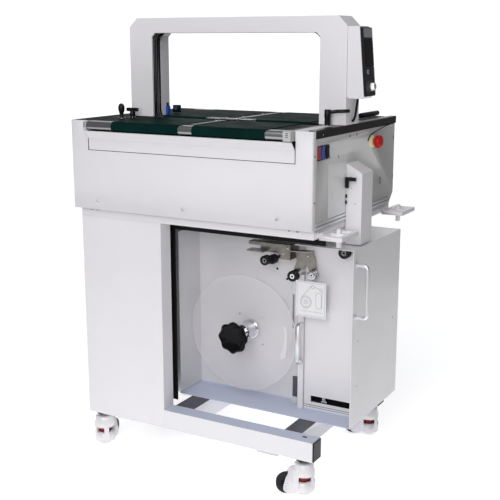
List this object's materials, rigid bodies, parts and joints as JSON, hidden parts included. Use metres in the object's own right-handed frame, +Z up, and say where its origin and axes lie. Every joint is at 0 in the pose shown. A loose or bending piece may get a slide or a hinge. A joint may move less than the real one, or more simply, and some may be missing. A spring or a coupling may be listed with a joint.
{
  "type": "strapping machine",
  "caption": "Arch strapping machine on levelling casters: belt table, strap arch with control box, and a pull-out reel unit beside an open column.",
  "frame": {"origin": "on the floor under the middle of the whole machine", "axes": "+Z up, +Y from the front to the rear, +X from the left side to the side with the pull handle"},
  "size_m": [0.9188, 0.63, 1.358],
  "materials": {
    "white_paint": "semi-gloss powder coat, very fine orange peel",
    "deck_paint": "satin dark grey",
    "belt_green": "matte dark green belt cover with a fine cross texture",
    "black_plastic": "satin",
    "cable_black": "satin sheath",
    "knob_black": "smooth moulded",
    "roller_black": "turned nylon",
    "bright_steel": "turned and ground",
    "hub_chrome": "polished",
    "zinc": "zinc plated",
    "aluminium": "satin anodised",
    "black_rail": "black anodised",
    "clear_acrylic": "clear sheet, polished edge",
    "label_plate": "white coated plate",
    "red_plastic": "glossy",
    "blue_plastic": "glossy",
    "caster_white": "gloss paint on cast metal",
    "wheel_rubber": "hard dark wheel",
    "foot_red": "red thumbwheel over a black pad"
  },
  "bodies": {
    "machine_body": {"front_panel": "white_paint", "left_side_panel": "white_paint", "right_side_panel": "white_paint", "rear_panel": "white_paint", "upper_frame": "white_paint", "left_column": "white_paint", "base_frame": "white_paint", "table_top": "deck_paint", "belt_front_left": "belt_green", "belt_front_right": "belt_green", "belt_rear_left": "belt_green", "belt_rear_right": "belt_green", "arch_frame": "white_paint", "strap_track": "black_plastic", "seal_head": "bright_steel", "control_box": "white_paint", "control_panel": "black_plastic", "control_cable": "cable_black", "side_rail": "black_rail", "strap_chute": "white_paint"},
    "reel_unit": {"reel_tray": "white_paint", "cabinet_shell": "white_paint", "pull_handle": "aluminium", "post_handle": "aluminium", "diagram_plate": "label_plate", "feed_bracket": "zinc"},
    "reel": {"reel_hub": "hub_chrome", "reel_flange": "clear_acrylic"},
    "reel_knob": {"reel_knob": "knob_black"},
    "dancer_arm": {"dancer_arm": "zinc"},
    "dancer_roller": {"dancer_roller": "roller_black"},
    "guide_roller": {"guide_roller": "bright_steel"},
    "feed_roller": {"feed_roller": "roller_black"},
    "corner_pulley": {"corner_pulley": "roller_black"},
    "front_roller": {"front_roller": "bright_steel"},
    "rear_roller": {"rear_roller": "bright_steel"},
    "front_flap": {"front_flap": "white_paint"},
    "dial_knob": {"dial_knob": "aluminium"},
    "start_button": {"start_button": "blue_plastic"},
    "estop_button": {"estop_button": "red_plastic"},
    "switch_red": {"switch_red": "red_plastic"},
    "switch_blue": {"switch_blue": "blue_plastic"},
    "switch_black": {"switch_black": "black_plastic"},
    "clamp_lever_right": {"clamp_lever_right": "black_plastic"},
    "clamp_knob_left": {"clamp_knob_left": "black_plastic"},
    "clamp_grip_left": {"clamp_grip_left": "black_plastic"},
    "chute_latch": {"chute_latch": "black_plastic"},
    "caster_body_front_left": {"caster_body_front_left": "caster_white"},
    "caster_body_front_right": {"caster_body_front_right": "caster_white"},
    "caster_body_rear_left": {"caster_body_rear_left": "caster_white"},
    "caster_body_rear_right": {"caster_body_rear_right": "caster_white"},
    "caster_wheel_front_left": {"caster_wheel_front_left": "wheel_rubber"},
    "caster_wheel_front_right": {"caster_wheel_front_right": "wheel_rubber"},
    "caster_wheel_rear_left": {"caster_wheel_rear_left": "wheel_rubber"},
    "caster_wheel_rear_right": {"caster_wheel_rear_right": "wheel_rubber"},
    "caster_foot_front_left": {"caster_foot_front_left": "foot_red"},
    "caster_foot_front_right": {"caster_foot_front_right": "foot_red"},
    "caster_foot_rear_left": {"caster_foot_rear_left": "foot_red"},
    "caster_foot_rear_right": {"caster_foot_rear_right": "foot_red"}
  },
  "joints": [
    {"name": "reel_unit_slide", "type": "slide", "parent": "machine_body", "child": "reel_unit", "axis": [1, 0, 0], "range_m": [0, 0.3]},
    {"name": "reel_spin", "type": "hinge", "parent": "reel_unit", "child": "reel", "pos_m": [0.01763, -0.06801, 0.388], "axis": [0, 1, 0], "continuous": true},
    {"name": "reel_knob_turn", "type": "hinge", "parent": "reel", "child": "reel_knob", "pos_m": [0.01763, -0.13751, 0.388], "axis": [0, 1, 0], "continuous": true},
    {"name": "dancer_swing", "type": "hinge", "parent": "reel_unit", "child": "dancer_arm", "pos_m": [0.24063, -0.06471, 0.66], "axis": [0, 1, 0], "range_deg": [-15, 10], "stiffness_Nm_per_rad": 2},
    {"name": "dancer_roller_spin", "type": "hinge", "parent": "dancer_arm", "child": "dancer_roller", "pos_m": [0.19763, -0.08501, 0.597], "axis": [0, 1, 0], "continuous": true},
    {"name": "guide_roller_spin", "type": "hinge", "parent": "dancer_arm", "child": "guide_roller", "pos_m": [0.26163, -0.08501, 0.608], "axis": [0, 1, 0], "continuous": true},
    {"name": "feed_roller_spin", "type": "hinge", "parent": "reel_unit", "child": "feed_roller", "pos_m": [0.10263, -0.08501, 0.635], "axis": [0, 1, 0], "continuous": true},
    {"name": "corner_pulley_spin", "type": "hinge", "parent": "reel_unit", "child": "corner_pulley", "pos_m": [0.36463, -0.08501, 0.687], "axis": [0, 1, 0], "continuous": true},
    {"name": "front_roller_spin", "type": "hinge", "parent": "machine_body", "child": "front_roller", "pos_m": [-0.05102, -0.30001, 1.041], "axis": [1, 0, 0], "continuous": true},
    {"name": "rear_roller_spin", "type": "hinge", "parent": "machine_body", "child": "rear_roller", "pos_m": [-0.05102, 0.28499, 1.041], "axis": [1, 0, 0], "continuous": true},
    {"name": "front_flap_hinge", "type": "hinge", "parent": "machine_body", "child": "front_flap", "pos_m": [-0.04337, -0.29051, 0.967], "axis": [1, 0, 0], "range_deg": [0, 90]},
    {"name": "dial_turn", "type": "hinge", "parent": "machine_body", "child": "dial_knob", "pos_m": [0.42089, -0.05001, 1.16376], "axis": [0.9961, 0, 0.0882], "range_deg": [-150, 150]},
    {"name": "start_press", "type": "slide", "parent": "machine_body", "child": "start_button", "axis": [-0.9961, 0, -0.0882], "range_m": [0, 0.0015], "stiffness_N_per_m": 300},
    {"name": "estop_press", "type": "slide", "parent": "machine_body", "child": "estop_button", "axis": [-1, 0, 0], "range_m": [0, 0.004]},
    {"name": "switch_red_rock", "type": "hinge", "parent": "machine_body", "child": "switch_red", "pos_m": [0.35763, -0.25001, 0.993], "axis": [0, 1, 0], "range_deg": [-6, 6]},
    {"name": "switch_blue_rock", "type": "hinge", "parent": "machine_body", "child": "switch_blue", "pos_m": [0.35763, -0.22301, 0.993], "axis": [0, 1, 0], "range_deg": [-6, 6]},
    {"name": "switch_black_rock", "type": "hinge", "parent": "machine_body", "child": "switch_black", "pos_m": [0.35763, -0.19601, 0.993], "axis": [0, 1, 0], "range_deg": [-6, 6]},
    {"name": "clamp_lever_turn", "type": "hinge", "parent": "machine_body", "child": "clamp_lever_right", "pos_m": [0.31563, -0.10601, 1.0543], "axis": [0, 0, 1], "range_deg": [-90, 0]},
    {"name": "clamp_knob_turn", "type": "hinge", "parent": "machine_body", "child": "clamp_knob_left", "pos_m": [-0.34637, -0.12701, 1.0543], "axis": [0, 0, 1], "range_deg": [-90, 90]},
    {"name": "clamp_grip_turn", "type": "hinge", "parent": "machine_body", "child": "clamp_grip_left", "pos_m": [-0.35237, -0.17601, 1.0543], "axis": [0, 0, 1], "range_deg": [-180, 180]},
    {"name": "chute_latch_turn", "type": "hinge", "parent": "machine_body", "child": "chute_latch", "pos_m": [0.37513, -0.07001, 0.904], "axis": [0, -1, 0], "range_deg": [0, 90]},
    {"name": "caster_front_left_swivel", "type": "hinge", "parent": "machine_body", "child": "caster_body_front_left", "pos_m": [-0.40137, -0.25001, 0.08], "axis": [0, 0, 1], "continuous": true},
    {"name": "caster_front_right_swivel", "type": "hinge", "parent": "machine_body", "child": "caster_body_front_right", "pos_m": [0.32713, -0.25201, 0.08], "axis": [0, 0, 1], "continuous": true},
    {"name": "caster_rear_left_swivel", "type": "hinge", "parent": "machine_body", "child": "caster_body_rear_left", "pos_m": [-0.40137, 0.23999, 0.08], "axis": [0, 0, 1], "continuous": true},
    {"name": "caster_rear_right_swivel", "type": "hinge", "parent": "machine_body", "child": "caster_body_rear_right", "pos_m": [0.32713, 0.23999, 0.08], "axis": [0, 0, 1], "continuous": true},
    {"name": "caster_front_left_roll", "type": "hinge", "parent": "caster_body_front_left", "child": "caster_wheel_front_left", "pos_m": [-0.41023, -0.19978, 0.031], "axis": [-0.9848, -0.1736, 0], "continuous": true},
    {"name": "caster_front_right_roll", "type": "hinge", "parent": "caster_body_front_right", "child": "caster_wheel_front_right", "pos_m": [0.28252, -0.27673, 0.031], "axis": [0.4848, -0.8746, 0], "continuous": true},
    {"name": "caster_rear_left_roll", "type": "hinge", "parent": "caster_body_rear_left", "child": "caster_wheel_rear_left", "pos_m": [-0.37587, 0.28416, 0.031], "axis": [-0.866, 0.5, 0], "continuous": true},
    {"name": "caster_rear_right_roll", "type": "hinge", "parent": "caster_body_rear_right", "child": "caster_wheel_rear_right", "pos_m": [0.2792, 0.22255, 0.031], "axis": [0.342, -0.9397, 0], "continuous": true},
    {"name": "caster_front_left_foot", "type": "slide", "parent": "caster_body_front_left", "child": "caster_foot_front_left", "axis": [0, 0, -1], "range_m": [0, 0.006]},
    {"name": "caster_front_right_foot", "type": "slide", "parent": "caster_body_front_right", "child": "caster_foot_front_right", "axis": [0, 0, -1], "range_m": [0, 0.006]},
    {"name": "caster_rear_left_foot", "type": "slide", "parent": "caster_body_rear_left", "child": "caster_foot_rear_left", "axis": [0, 0, -1], "range_m": [0, 0.006]},
    {"name": "caster_rear_right_foot", "type": "slide", "parent": "caster_body_rear_right", "child": "caster_foot_rear_right", "axis": [0, 0, -1], "range_m": [0, 0.006]}
  ],
  "couplings": [
    {"joint": "rear_roller_spin", "follows": "front_roller_spin", "ratio": 1}
  ]
}
